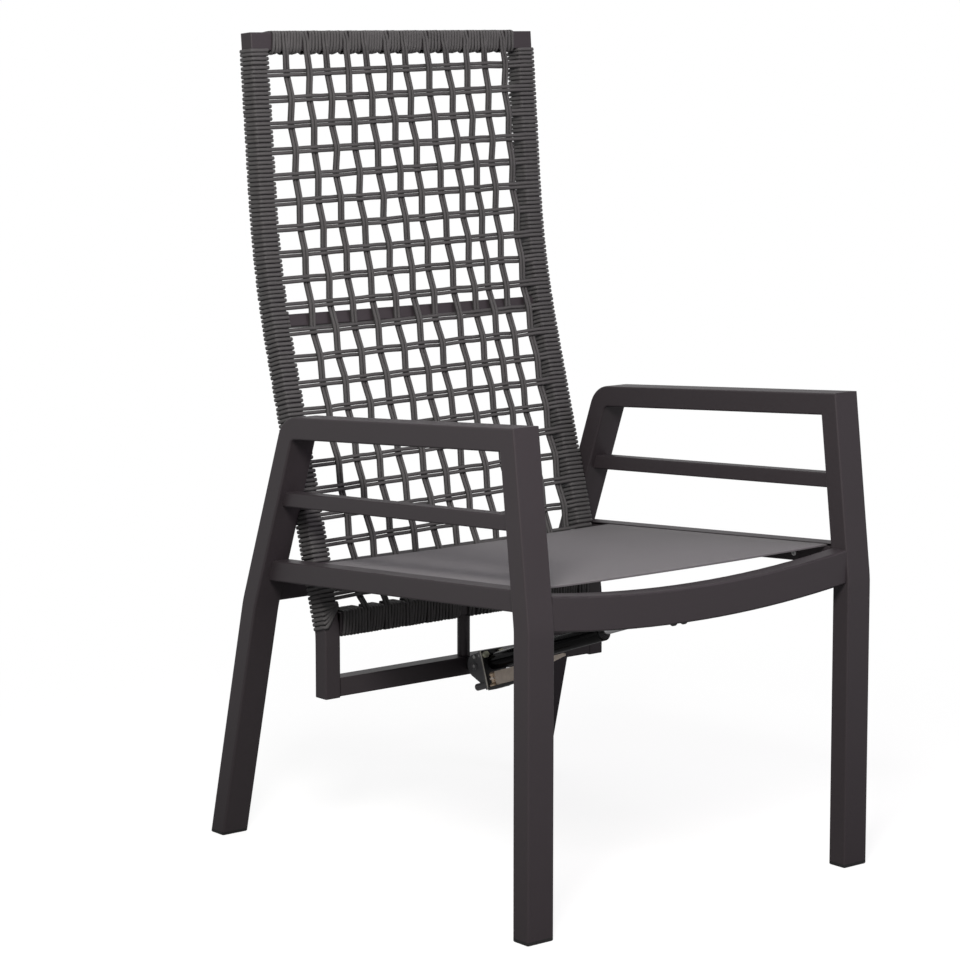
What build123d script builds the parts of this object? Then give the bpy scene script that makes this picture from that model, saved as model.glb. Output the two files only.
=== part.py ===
from build123d import *
import os
from math import cos, radians, sin, sqrt, tan

# Reclining garden armchair. Millimetres, +Z up. The origin is on the floor, at the centre of
# the space between the front faces of the front legs and the backs of the rear legs.
# The sitter looks along -Y. Depths are counted backwards from the front faces of the legs.

# Side frames of flat aluminium tube
overall_width = 600.0
leg_width = 42.5
leg_thickness = 30.0
tube_wall = 2.0
tube_corner = 3.0
front_bend_height = 395.0
front_lean = 6.9
arm_height = 644.0
arm_rake = 4.2
foot_depth = 698.0
rear_splay = 13.7
rear_bend_height = 345.0
rear_upper_splay = 20.2
leg_bend_radius = 150.0
arm_corner_radius = 26.0
arm_corner_run = 42.0
overrun = 60.0

# Black plastic glides in the leg ends
glide_height = 5.0
glide_plug = 14.0
glide_edge = 1.2

# Side rails
rail_datum_depth = 80.0
rail_corner = 2.5
middle_rail_rake = 3.5
middle_rail_height = 20.0
middle_rail_width = 22.0
middle_rail_top = 531.5
seat_rail_rake = 3.9
seat_rail_height = 28.0
seat_rail_width = 28.0
seat_rail_top = 437.5

# Seat cloth, the strips in its edges and the screws that lock them in the rails
cloth_thickness = 1.6
cloth_sag = 2.0
cloth_front = 44.0
cloth_rear_gap = 2.0
hem_width = 24.0
hem_extra = 1.2
slot_height = 2.6
slot_wall = 0.9
strip_thickness = 3.0
strip_height = 18.0
cloth_gap = 0.1
screw_head_diameter = 9.0
screw_head_height = 3.0
screw_shank_diameter = 4.0
screw_length = 12.0
screw_socket = 4.0
screw_front_depth = 102.0
screw_rear_gap = 33.0

# Curved front apron and rear cross tube
apron_height = 45.5
apron_depth = 28.0
apron_inset = 5.0
apron_end_top = 435.0
apron_sag = 16.5
cross_tube_height = 40.0
cross_tube_depth = 24.0
cross_tube_bottom = 345.0

# Backrest frame of square tube
hinge_gap = 7.5
back_tube = 25.0
back_wall = 1.8
back_corner = 2.0
back_setback = 210.0
back_bottom = 220.0
back_low_bend = 318.0
back_low_lean = 16.0
back_low_radius = 160.0
back_high_bend = 793.0
back_high_lean = 5.0
back_high_radius = 1080.0
back_top = 1119.5
top_tube_height = 25.5
end_plug_depth = 12.0
end_plug_lip = 1.4
end_plug_edge = 0.6
middle_bar_height = 18.0
middle_bar_depth = 14.0
middle_bar_bottom = 715.0
middle_bar_setback = 8.0
lower_bar_height = 30.0
lower_bar_bottom = 306.0
bottom_bar_height = 26.0
centre_post_diameter = 18.0
gusset_reach = 6.0

# Cord wound round the backrest tubes, and the woven lattice between them
cord_thickness = 3.0
cord_groove = 1.5
turn_pitch = 6.3
winding_low_end = 338.0
winding_high_end = 1100.0
hinge_opening = 28.0
bare_corner = 10.0
lattice_horizontals = 21
lattice_horizontal_pitch = 35.3
lattice_highest = 1068.5
lattice_tilt = 0.02
lattice_lean = -15.0
lattice_lean_rows = 8
lattice_cord_width = 11.5
lattice_thickness = 6.0
lattice_setback = 1.5

# The woven uprights from left to right. Their upper ends lean to the left.
lattice_uprights = (-180.0, -144.5, -109.0, -71.0, -33.0, 3.0, 36.0, 75.5, 111.0, 141.0, 171.0,
                    206.0)

# Recline hinges
hinge_bolt_diameter = 8.0
hinge_head_diameter = 14.0
hinge_head_height = 4.0
hinge_socket = 5.0
hinge_bush_diameter = 12.0
hinge_washer_diameter = 22.0
hinge_insert_diameter = 13.0
hinge_insert_flange = 17.0
hinge_insert_lip = 1.0
hinge_insert_length = 14.0
running_fit = 0.05
seat_gap = 0.3

# Lockable gas spring. Its rear pivot is in a lug on the backrest, its front pin in a bracket.
lug_reach = 23.0
spring_rear_height = 237.0
spring_front_depth = 62.0
spring_front_height = 374.0
spring_pin_diameter = 8.0
spring_pin_head = 11.0
spring_pin_head_height = 2.5
lug_width = 9.0
lug_radius = 8.5
head_radius = 16.5
head_plate = 3.0
head_web_start = 28.0
head_width = 38.0
head_above = 17.5
head_below = 37.0
head_foot = 10.0
rivet_diameter = 4.0
rivet_head_diameter = 6.0
rivet_head_height = 1.5
rivet_along = 3.0
rivet_above = 12.6
head_waist_angle = 57.0
head_waist_along = 3.0
head_waist_below = 24.0
socket_diameter = 10.0
socket_bore = 3.5
socket_below = 30.0
socket_side = 14.0
socket_length = 24.0
flange_thickness = 3.0
flange_bolt_diameter = 5.0
flange_bolt_head = 10.0
flange_bolt_height = 5.0
flange_bolt_above = 11.5
flange_bolt_side = 13.5
flange_nut = 8.0
flange_nut_height = 4.0
cylinder_diameter = 24.0
cylinder_wall = 1.5
cylinder_length = 245.5
cylinder_base = 6.0
cylinder_edge = 1.5
guide_length = 12.0
piston_rod_diameter = 10.0
piston_length = 12.0
piston_offset = 4.0
eye_diameter = 21.0
eye_width = 14.0
neck_diameter = 13.0
neck_length = 10.0
bracket_plate = 3.0
bracket_rim = 2.4
bracket_gap = 0.5
bracket_base_height = 40.0
bracket_base_width = 60.0
pin_play = 0.4
pin_travel = 19.6
pin_sway = 1.5
pin_slot_angle = 55.4

# Release lever: a plate on edge that swings on a brass post, which stands on a shelf
lever_thickness = 2.6
lever_side = 13.0
lever_above = 14.5
lever_below = 33.5
lever_deep_end = 95.0
lever_tip_along = 205.0
lever_tip_height = 4.0
lever_eye_diameter = 10.0
lever_eye_height = 3.0
lever_eye_below = 23.5
shelf_below = 34.0
shelf_thickness = 4.5
shelf_tip_thickness = 2.0
shelf_step = 51.0
shelf_length = 106.0
shelf_inner_side = 5.0
shelf_outer_side = 20.0
post_along = 41.0
post_foot = 13.0
post_foot_height = 2.0
post_flare_height = 3.0
post_neck = 6.0
post_head = 8.5
post_head_height = 4.5

# Places in the side view are vectors with no sideways part.
front_face = -foot_depth / 2
half_width = overall_width / 2
leg_inside = half_width - leg_width
leg_middle = half_width - leg_width / 2
back_half_width = leg_inside - hinge_gap
back_inside = back_half_width - back_tube
back_middle = back_half_width - back_tube / 2
back_front = foot_depth - back_setback
cloth_rear = back_front - cloth_rear_gap
screw_rear_depth = back_front - screw_rear_gap
spring_rear_depth = back_front - lug_reach


def side_point(depth, height):
    return Vector(0, front_face + depth, height)


def upright(lean):
    """The direction of a nearly upright line that leans back by an angle."""
    return Vector(0, sin(radians(lean)), cos(radians(lean)))


def level(rake):
    """The direction of a nearly level line that falls towards the back."""
    return Vector(0, cos(radians(rake)), -sin(radians(rake)))


def shifted(line, distance):
    """The line moved backwards, square to itself."""
    point, direction = line
    return point + Vector(0, direction.Z, -direction.Y) * distance, direction


def crossing(first, second):
    """Where two lines of the side view meet."""
    (start, along), (other, across) = first, second
    gap = other - start
    turn = along.Y * across.Z - along.Z * across.Y
    return start + along * ((gap.Y * across.Z - gap.Z * across.Y) / turn)


def at_height(line, height):
    point, direction = line
    return point + direction * ((height - point.Z) / direction.Z)


def at_depth(line, depth):
    point, direction = line
    return point + direction * ((front_face + depth - point.Y) / direction.Y)


def bent_path(points, radii):
    """Straight runs joined by tangent arcs, with one radius for each inner point."""
    edges = []
    start = points[0]
    for before, corner, after, radius in zip(points, points[1:], points[2:], radii):
        into = (corner - before).normalized()
        out = (after - corner).normalized()
        half_turn = radians(into.get_angle(out) / 2)
        arc_start = corner - into * radius * tan(half_turn)
        arc_end = corner + out * radius * tan(half_turn)
        middle = corner + (out - into).normalized() * radius * (1 / cos(half_turn) - 1)
        edges.append(Line(start, arc_start).edge())
        edges.append(ThreePointArc(arc_start, middle, arc_end).edge())
        start = arc_end
    edges.append(Line(start, points[-1]).edge())
    return Wire(edges)


def box_section(width, depth, corner):
    return RectangleRounded(width, depth, corner) if corner > 0 else Rectangle(width, depth)


def swept_bar(path, x_middle, width, depth, corner):
    """A bar of rectangular section along a path in the side view."""
    path = path.moved(Location((x_middle, 0, 0)))
    start = Plane(origin=path @ 0, x_dir=(1, 0, 0), z_dir=path % 0)
    return sweep(start * box_section(width, depth, corner), path)


def straight_bar(start, end, x_middle, width, depth, corner):
    """A straight bar between two points of the side view."""
    plane = Plane(origin=start + Vector(x_middle, 0, 0), x_dir=(1, 0, 0), z_dir=end - start)
    return extrude(plane * box_section(width, depth, corner), (end - start).length)


def cross_bar(centre, along, height, depth, corner, x_low, x_high):
    """A bar across the chair, whose height runs along a direction of the side view."""
    plane = Plane(origin=centre + Vector(x_low, 0, 0), x_dir=along, z_dir=(1, 0, 0))
    return extrude(plane * box_section(height, depth, corner), x_high - x_low)


def cross_tube(centre, along, height, depth, wall, corner, x_low, x_high):
    outside = cross_bar(centre, along, height, depth, corner, x_low, x_high)
    hollow = (height - 2 * wall, depth - 2 * wall)
    return outside - cross_bar(centre, along, *hollow, 0, x_low, x_high)


def cross_pin(centre, diameter, x_low, x_high):
    """A round bar across the chair, through a point of the side view."""
    plane = Plane(origin=centre + Vector(x_low, 0, 0), x_dir=(0, 1, 0), z_dir=(1, 0, 0))
    return extrude(plane * Circle(diameter / 2), x_high - x_low)


def cross_ring(centre, diameter, bore, x_low, x_high):
    return cross_pin(centre, diameter, x_low, x_high) - cross_pin(centre, bore, x_low, x_high)


def side_shape(sketch, plane, x_low, x_high):
    """A sketch of the side view made solid between two distances from the centre plane."""
    return extrude(plane.offset(x_low) * sketch, x_high - x_low)


def level_slab(low, high):
    size = overall_width + foot_depth
    return Pos(0, 0, (low + high) / 2) * Box(size, size, high - low)


def mirrored(part):
    return mirror(part, about=Plane.YZ)


def half_space(line, keep):
    """For split: everything in front of a line of the side view, or behind it."""
    point, direction = line
    plane = Plane(origin=point, x_dir=(1, 0, 0), z_dir=(0, direction.Z, -direction.Y))
    return {"bisect_by": plane, "keep": Keep.TOP if keep == "behind" else Keep.BOTTOM}


# Lines of the side view that the frame follows
front_face_low = (side_point(0, 0), upright(0))
front_bend = side_point(0, front_bend_height)
front_face_high = (front_bend, upright(front_lean))
arm_front_corner = at_height(front_face_high, arm_height)
arm_top = (arm_front_corner, level(arm_rake))
rear_face_low = (side_point(foot_depth, 0), upright(-rear_splay))
rear_bend = at_height(rear_face_low, rear_bend_height)
rear_face_high = (rear_bend, upright(-rear_upper_splay))
arm_middle = shifted(arm_top, leg_thickness / 2)
front_middle_low = shifted(front_face_low, leg_thickness / 2)
front_middle_high = shifted(front_face_high, leg_thickness / 2)
rear_middle_low = shifted(rear_face_low, -leg_thickness / 2)
rear_middle_high = shifted(rear_face_high, -leg_thickness / 2)
front_corner = crossing(front_middle_high, arm_middle)
rear_corner = crossing(rear_middle_high, arm_middle)
arm_joint = rear_corner - arm_middle[1] * arm_corner_run
seat_rail_line = (side_point(rail_datum_depth, seat_rail_top), level(seat_rail_rake))
seat_rail_middle = shifted(seat_rail_line, seat_rail_height / 2)
middle_rail_line = (side_point(rail_datum_depth, middle_rail_top), level(middle_rail_rake))
middle_rail_middle = shifted(middle_rail_line, middle_rail_height / 2)
front_leg_back = shifted(front_face_high, leg_thickness)
rear_leg_front = shifted(rear_face_high, -leg_thickness)

# Lines and points of the side view that the backrest follows
back_face_low = (side_point(back_front, 0), upright(0))
back_face_mid = (side_point(back_front, back_low_bend), upright(back_low_lean))
back_face_high = (at_height(back_face_mid, back_high_bend), upright(back_high_lean))
back_middle_low = shifted(back_face_low, back_tube / 2)
back_middle_mid = shifted(back_face_mid, back_tube / 2)
back_middle_high = shifted(back_face_high, back_tube / 2)
high_along = back_face_high[1]
top_point = at_height(back_middle_high, back_top)
top_tube_middle = top_point - high_along * top_tube_height / 2
hinge_point = crossing(seat_rail_middle, back_middle_mid)

# The gas spring's own side view: from its rear pivot forwards along its axis, and up. Sideways
# distances in it count towards the left of somebody who stands in front of the chair.
spring_rear = side_point(spring_rear_depth, spring_rear_height)
spring_front = side_point(spring_front_depth, spring_front_height)
spring_length = (spring_front - spring_rear).length
spring_along = (spring_front - spring_rear).normalized()
spring_side = Plane(origin=spring_rear, x_dir=spring_along, z_dir=(-1, 0, 0))
spring_up = spring_side.y_dir
head_inner = lug_width / 2 + seat_gap
head_outer = head_inner + head_plate
flange_start = head_web_start + head_plate
cylinder_start = flange_start + flange_thickness
cylinder_end = cylinder_start + cylinder_length


def tube_of(bar, width, depth, wall, corner):
    """A hollow bar, from a function that makes a solid one of any section."""
    return bar(width, depth, corner) - bar(width - 2 * wall, depth - 2 * wall, 0)


def front_leg_bar(width, depth, corner):
    """The left front leg as a solid bar, too long at both ends."""
    path = bent_path([at_height(front_middle_low, -overrun),
                      crossing(front_middle_low, front_middle_high),
                      front_corner + front_middle_high[1] * overrun], [leg_bend_radius])
    return swept_bar(path, -leg_middle, width, depth, corner)


def rear_leg_bar(width, depth, corner):
    """The left rear leg with the rounded corner that turns it into the armrest."""
    path = bent_path([at_height(rear_middle_low, -overrun),
                      crossing(rear_middle_low, rear_middle_high),
                      rear_corner, arm_joint], [leg_bend_radius, arm_corner_radius])
    return swept_bar(path, -leg_middle, width, depth, corner)


def armrest_bar(width, depth, corner):
    end = front_corner - arm_middle[1] * overrun
    return straight_bar(arm_joint, end, -leg_middle, width, depth, corner)


def arm_mitre():
    """The plane that halves the corner of front leg and armrest. The leg is below it."""
    into_arm = arm_middle[1] + front_middle_high[1]
    return Plane(origin=front_corner, x_dir=(1, 0, 0), z_dir=into_arm)


def make_front_leg():
    leg = tube_of(front_leg_bar, leg_width, leg_thickness, tube_wall, tube_corner)
    leg = leg & level_slab(glide_height, arm_height + overrun)
    return split(leg, bisect_by=arm_mitre(), keep=Keep.BOTTOM)


def make_rear_leg():
    leg = tube_of(rear_leg_bar, leg_width, leg_thickness, tube_wall, tube_corner)
    return leg & level_slab(glide_height, arm_height + overrun)


def make_armrest():
    arm = tube_of(armrest_bar, leg_width, leg_thickness, tube_wall, tube_corner)
    return split(arm, bisect_by=arm_mitre(), keep=Keep.TOP)


def make_glide(leg_bar):
    """A foot cap with the outline of the leg, and a plug that fills the leg's end."""
    cap = leg_bar(leg_width, leg_thickness, tube_corner) & level_slab(0, glide_height)
    cap = chamfer(cap.faces().sort_by(Axis.Z)[0].edges(), glide_edge)
    plug = leg_bar(leg_width - 2 * tube_wall, leg_thickness - 2 * tube_wall, 0)
    return cap + (plug & level_slab(glide_height, glide_height + glide_plug))


def between_legs(bar):
    bar = split(bar, **half_space(front_leg_back, "behind"))
    return split(bar, **half_space(rear_leg_front, "in front"))


def make_middle_rail():
    def bar(width, depth, corner):
        start = at_depth(middle_rail_middle, 0)
        end = at_depth(middle_rail_middle, foot_depth)
        return straight_bar(start, end, -leg_middle, width, depth, corner)
    rail = tube_of(bar, middle_rail_width, middle_rail_height, tube_wall, rail_corner)
    return between_legs(rail)


def rail_point(depth, below):
    """A point of the side view below the top of the seat rail."""
    return at_depth(shifted(seat_rail_line, below), depth)


slot_middle = slot_wall + slot_height / 2
cloth_top = slot_middle - cloth_thickness / 2
cloth_bottom = slot_middle + cloth_thickness / 2
strip_inner = leg_inside + tube_wall + seat_gap
strip_outer = strip_inner + strip_thickness
strip_top = cloth_bottom + cloth_gap
strip_bottom = strip_top + strip_height
flap_inner = strip_outer + cloth_gap
flap_outer = flap_inner + cloth_thickness
screw_below = strip_bottom - screw_head_diameter / 2
screw_points = [rail_point(screw_front_depth, screw_below),
                rail_point(screw_rear_depth, screw_below)]
cloth_plane = Plane(origin=rail_point(cloth_front, 0), x_dir=(1, 0, 0),
                    z_dir=seat_rail_line[1])
cloth_length = (rail_point(cloth_rear, 0) - rail_point(cloth_front, 0)).length


def make_seat_rail():
    """A square-edged tube with a slot for the cloth along the top of its inner face."""
    def bar(width, depth, corner):
        start = at_depth(seat_rail_middle, 0)
        end = at_depth(seat_rail_middle, foot_depth)
        middle = -leg_inside - seat_rail_width / 2
        return straight_bar(start, end, middle, width, depth, corner)
    rail = between_legs(tube_of(bar, seat_rail_width, seat_rail_height, tube_wall, rail_corner))
    rail -= straight_bar(rail_point(0, slot_middle), rail_point(foot_depth, slot_middle),
                         -leg_inside, 2 * (flap_outer - leg_inside + seat_gap), slot_height, 0)
    reach = (-leg_inside - 2 * tube_wall, -leg_inside + tube_wall)
    rail -= cross_pin(hinge_point, hinge_insert_diameter, *reach)
    for point in screw_points:
        rail -= cross_pin(point, screw_shank_diameter + 2 * running_fit, *reach)
    return rail


def make_apron():
    """A flat tube bent to a shallow arc, with its ends flat against the legs."""
    radius = (leg_inside ** 2 + apron_sag ** 2) / (2 * apron_sag)
    reach = leg_inside + leg_width / 2
    rise = radius - sqrt(radius ** 2 - reach ** 2)
    middle = apron_middle()
    arc = ThreePointArc(middle + Vector(-reach, 0, rise), middle, middle + Vector(reach, 0, rise))
    path = Wire([arc.edge()])
    start = Plane(origin=path @ 0, x_dir=(0, 1, 0), z_dir=path % 0)

    def bar(depth, height, corner):
        return sweep(start * box_section(depth, height, corner), path)
    tube = tube_of(bar, apron_depth, apron_height, tube_wall, tube_corner)
    return tube & Box(2 * leg_inside, 2 * foot_depth, 2 * arm_height)


def apron_middle():
    """The middle of the apron's section, where it hangs lowest."""
    return side_point(apron_inset + apron_depth / 2, apron_end_top - apron_sag - apron_height / 2)


def make_rear_cross_tube():
    middle = at_height(rear_middle_high, cross_tube_bottom + cross_tube_height / 2)
    return cross_tube(middle, rear_middle_high[1], cross_tube_height, cross_tube_depth,
                      tube_wall, tube_corner, -leg_inside, leg_inside)


def sagging(below):
    """The sagging line of the cloth across the seat, at a distance below the rail's top."""
    return ThreePointArc((-leg_inside, below), (0, below + cloth_sag), (leg_inside, below))


def make_seat_cloth():
    """The stretched cloth with a hem at each end and a flap down behind each edge strip."""
    right_edge = Polyline((leg_inside, cloth_top), (flap_outer, cloth_top),
                          (flap_outer, strip_bottom), (flap_inner, strip_bottom),
                          (flap_inner, cloth_bottom), (leg_inside, cloth_bottom))
    left_edge = Polyline((-leg_inside, cloth_bottom), (-flap_inner, cloth_bottom),
                         (-flap_inner, strip_bottom), (-flap_outer, strip_bottom),
                         (-flap_outer, cloth_top), (-leg_inside, cloth_top))
    outline = make_face(sagging(cloth_top) + right_edge + sagging(cloth_bottom) + left_edge)
    cloth = extrude(cloth_plane * outline, cloth_length)
    hem_bottom = cloth_bottom + hem_extra
    hem_right = Line((leg_inside, cloth_bottom), (leg_inside, hem_bottom))
    hem_left = Line((-leg_inside, cloth_bottom), (-leg_inside, hem_bottom))
    hem = make_face(sagging(cloth_bottom) + hem_right + sagging(hem_bottom) + hem_left)
    cloth += extrude(cloth_plane * hem, hem_width)
    cloth += extrude(cloth_plane.offset(cloth_length - hem_width) * hem, hem_width)
    return cloth - lock_screw_holes()


def make_edge_strip():
    middle = (-(strip_inner + strip_outer) / 2, (strip_top + strip_bottom) / 2)
    section = Pos(*middle) * Rectangle(strip_thickness, strip_height)
    return extrude(cloth_plane * section, cloth_length) - lock_screw_holes()


def lock_screw_holes():
    diameter = screw_shank_diameter + 2 * running_fit
    return [cross_pin(point, diameter, side * leg_inside, side * (leg_inside + screw_length))
            if side > 0 else
            cross_pin(point, diameter, side * (leg_inside + screw_length), side * leg_inside)
            for point in screw_points for side in (-1, 1)]


def socket_screw(point, face, head_diameter, head_height, shank_diameter, length, socket):
    """A screw from left to right: its head ends at the face, and the shank goes on from there."""
    head = cross_pin(point, head_diameter, face - head_height, face)
    rim = head.faces().sort_by(Axis.X)[0].edges()
    head = chamfer(rim, head_height / 4)
    start = Plane(origin=point + Vector(face - head_height, 0, 0), x_dir=(0, 1, 0),
                  z_dir=(1, 0, 0))
    head -= extrude(start * RegularPolygon(socket / 2, 6), head_height / 2)
    return head + cross_pin(point, shank_diameter, face, face + length)


def make_lock_screws():
    screws = [socket_screw(point, leg_inside, screw_head_diameter, screw_head_height,
                           screw_shank_diameter, screw_length, screw_socket)
              for point in screw_points]
    return screws + [mirrored(screw) for screw in screws]


def back_path(end):
    return bent_path([at_height(back_middle_low, back_bottom),
                      crossing(back_middle_low, back_middle_mid),
                      crossing(back_middle_mid, back_middle_high), end],
                     [back_low_radius, back_high_radius])


def back_side_bar(width, depth, corner):
    """The right side tube of the backrest as a solid bar, too long at the top."""
    path = back_path(top_point + high_along * overrun)
    return swept_bar(path, back_middle, width, depth, corner)


def back_mitre():
    """The plane through the right top corner of the backrest. The side tube is above it."""
    normal = Vector(top_tube_height, 0, 0) - high_along * back_tube
    return Plane(origin=top_point + Vector(back_half_width, 0, 0), x_dir=(0, high_along.Z,
                 -high_along.Y), z_dir=normal)


def make_back_side_tube():
    tube = tube_of(back_side_bar, back_tube, back_tube, back_wall, back_corner)
    tube = split(tube, bisect_by=back_mitre(), keep=Keep.TOP)
    return tube - cross_pin(hinge_point, hinge_bush_diameter, back_inside, back_half_width)


def make_back_top_tube():
    tube = cross_tube(top_tube_middle, high_along, top_tube_height, back_tube, back_wall,
                      back_corner, 0, back_half_width)
    tube = split(tube, bisect_by=back_mitre(), keep=Keep.BOTTOM)
    return tube + mirrored(tube)


def low_cross_tube(bottom, height):
    """A tube between the upright feet of the side tubes."""
    middle = side_point(back_front + back_tube / 2, bottom + height / 2)
    return cross_tube(middle, upright(0), height, back_tube, back_wall, back_corner,
                      -back_inside, back_inside)


def middle_crossbar_place():
    """The middle of the middle crossbar's section."""
    line = shifted(back_face_mid, middle_bar_setback + middle_bar_depth / 2)
    return at_height(line, middle_bar_bottom + middle_bar_height / 2)


def middle_crossbar_bar():
    """The space of the middle crossbar, which the windings leave free."""
    return cross_bar(middle_crossbar_place(), back_face_mid[1], middle_bar_height,
                     middle_bar_depth, 0, -back_inside, back_inside)


def make_middle_crossbar():
    return cross_tube(middle_crossbar_place(), back_face_mid[1], middle_bar_height,
                      middle_bar_depth, back_wall, back_corner, -back_inside, back_inside)


def make_lower_crossbar():
    return low_cross_tube(lower_bar_bottom, lower_bar_height)


def make_bottom_bar():
    return low_cross_tube(back_bottom, bottom_bar_height)


def make_centre_post():
    """A short round tube with a gusset on each side under the lower crossbar."""
    foot = side_point(back_front + back_tube / 2, back_bottom + bottom_bar_height)
    side = centre_post_diameter / 2
    top = lower_bar_bottom
    post = extrude(Plane(foot) * (Circle(side) - Circle(side - back_wall)), top - foot.Z)
    inner = side - back_wall / 2
    gusset = make_face(Polyline((inner, top), (side + gusset_reach, top),
                                (side, top - gusset_reach), (inner, top - gusset_reach),
                                close=True))
    plate = extrude(Plane.XZ.offset(-foot.Y) * gusset, back_wall, both=True)
    return post + plate + mirrored(plate)


def make_end_plug():
    """A plug for the open foot of the right side tube."""
    foot = side_point(back_front + back_tube / 2, back_bottom)
    lip = straight_bar(foot - Vector(0, 0, end_plug_lip), foot, back_middle, back_tube,
                       back_tube, back_corner)
    lip = chamfer(lip.faces().sort_by(Axis.Z)[0].edges(), end_plug_edge)
    inner = back_tube - 2 * back_wall
    return lip + straight_bar(foot, foot + Vector(0, 0, end_plug_depth), back_middle, inner,
                              inner, 0)


def wound_sleeve(planes, width, depth):
    """A sleeve with one rounded-off rib for each turn of the cord."""
    sections = []
    for index, plane in enumerate(planes):
        out = cord_thickness if index % 2 else cord_thickness - cord_groove
        sections.append(plane * Rectangle(width + 2 * out, depth + 2 * out))
    return loft(sections, ruled=True)


def turn_shares(length):
    """Shares of a length at which the ribs and grooves of its turns lie."""
    halves = 2 * max(round(length / turn_pitch), 1)
    return [step / halves for step in range(halves + 1)]


def make_side_winding():
    """The winding of the right side tube, open round the hinge."""
    path = back_path(top_point)
    bare = back_side_bar(back_tube, back_tube, 0)
    bare += cross_bar(top_tube_middle, high_along, top_tube_height, back_tube, 0,
                      -back_half_width, back_half_width)
    below = hinge_point - back_middle_mid[1] * hinge_opening / 2
    above = hinge_point + back_middle_mid[1] * hinge_opening / 2
    low = at_height(back_middle_mid, winding_low_end)
    high = at_height(back_middle_high, winding_high_end)
    pieces = []
    for first, last in ((low, below), (above, high)):
        start, end = path.param_at_point(first), path.param_at_point(last)
        planes = []
        for share in turn_shares((end - start) * path.length):
            place = start + (end - start) * share
            origin = path.position_at(place) + Vector(back_middle, 0, 0)
            planes.append(Plane(origin=origin, x_dir=(1, 0, 0), z_dir=path.tangent_at(place)))
        pieces.append(wound_sleeve(planes, back_tube, back_tube) - bare - middle_crossbar_bar())
    return pieces


def cross_winding(centre, along, height, x_low, x_high):
    planes = [Plane(origin=centre + Vector(x_low + (x_high - x_low) * share, 0, 0), x_dir=along,
                    z_dir=(1, 0, 0)) for share in turn_shares(x_high - x_low)]
    bare = cross_bar(centre, along, height, back_tube, 0, x_low, x_high)
    return wound_sleeve(planes, height, back_tube) - bare


def make_top_winding():
    reach = back_inside - bare_corner
    return cross_winding(top_tube_middle, high_along, top_tube_height, -reach, reach)


def make_lower_winding():
    """The winding of the lower crossbar, on each side of the centre post."""
    centre = side_point(back_front + back_tube / 2, lower_bar_bottom + lower_bar_height / 2)
    inner = centre_post_diameter / 2 + gusset_reach
    outer = back_inside - cord_thickness - seat_gap
    right = cross_winding(centre, upright(0), lower_bar_height, inner, outer)
    return [mirrored(right), right]


def make_lattice():
    """A curved sheet as wide as the space between the windings, with one hole for each gap,
    in two halves that meet where the backrest bends."""
    middle = lattice_setback + lattice_thickness / 2
    mid_line = shifted(back_face_mid, middle)
    high_line = shifted(back_face_high, middle)
    slope_rise = lattice_thickness / 2 * sin(radians(back_low_lean))
    low_end = at_height(mid_line, lower_bar_bottom + lower_bar_height + cord_thickness
                        + slope_rise)
    top_edge = top_point - high_along * (top_tube_height + cord_thickness)
    edge_line = (top_edge, Vector(0, high_along.Z, -high_along.Y))
    high_end = crossing(high_line, edge_line)
    radius = back_high_radius - back_tube / 2 + middle
    path = bent_path([low_end, crossing(mid_line, high_line), high_end], [radius])
    half = back_inside - cord_thickness
    sheet = swept_bar(path, 0, 2 * half, lattice_thickness, 0)
    down = [lattice_highest - index * lattice_horizontal_pitch
            for index in range(lattice_horizontals)]
    down = [back_top] + down + [low_end.Z - lattice_horizontal_pitch]
    holes = []
    for row, (high, low) in enumerate(zip(down, down[1:])):
        lean = lattice_lean * max(1 - row / lattice_lean_rows, 0)
        across = [place + lean for place in lattice_uprights]
        across = [-back_half_width] + across + [back_half_width]
        for left, right in zip(across, across[1:]):
            middle_x = (left + right) / 2
            place = Pos(middle_x, (low + high) / 2 + middle_x * lattice_tilt)
            size = (right - left - lattice_cord_width, high - low - lattice_cord_width)
            holes.append(place * Rectangle(*size))
    gaps = [extrude(Plane.XZ * hole, foot_depth, both=True) for hole in holes]
    head = hinge_head_diameter + 2 * seat_gap
    gaps.append(cross_pin(hinge_point, head, back_inside - 2 * hinge_head_height, back_inside))
    gaps.append(mirrored(gaps[-1]))
    bend = crossing(mid_line, high_line)
    crease = Plane(origin=bend, x_dir=(1, 0, 0), z_dir=mid_line[1] + high_line[1])
    return split(sheet - gaps, bisect_by=crease, keep=Keep.BOTH)


def make_hinge_bolt():
    """The right hinge bolt, from inside the backrest into the seat rail."""
    face = back_inside - seat_gap
    length = leg_inside + hinge_insert_length - face
    return socket_screw(hinge_point, face, hinge_head_diameter, hinge_head_height,
                        hinge_bolt_diameter, length, hinge_socket)


hinge_bore = hinge_bolt_diameter + 2 * running_fit
insert_face = leg_inside - hinge_insert_lip


def make_hinge_bush():
    return cross_ring(hinge_point, hinge_bush_diameter, hinge_bore, back_inside, back_half_width)


def make_hinge_washer():
    return cross_ring(hinge_point, hinge_washer_diameter, hinge_bore,
                      back_half_width + seat_gap, insert_face)


def make_hinge_insert():
    lip = cross_ring(hinge_point, hinge_insert_flange, hinge_bore, insert_face, leg_inside)
    return lip + cross_ring(hinge_point, hinge_insert_diameter, hinge_bore, leg_inside,
                            leg_inside + hinge_insert_length)


def make_spring_lug():
    """The lug on the front of the bottom bar that carries the gas spring."""
    local = Plane(origin=spring_rear, x_dir=(0, 1, 0), z_dir=(1, 0, 0))
    arm = Pos(lug_reach / 2, 0) * Rectangle(lug_reach, 2 * lug_radius)
    hole = Circle(spring_pin_diameter / 2 + running_fit)
    return side_shape(Circle(lug_radius) + arm - hole, local, -lug_width / 2, lug_width / 2)


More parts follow.
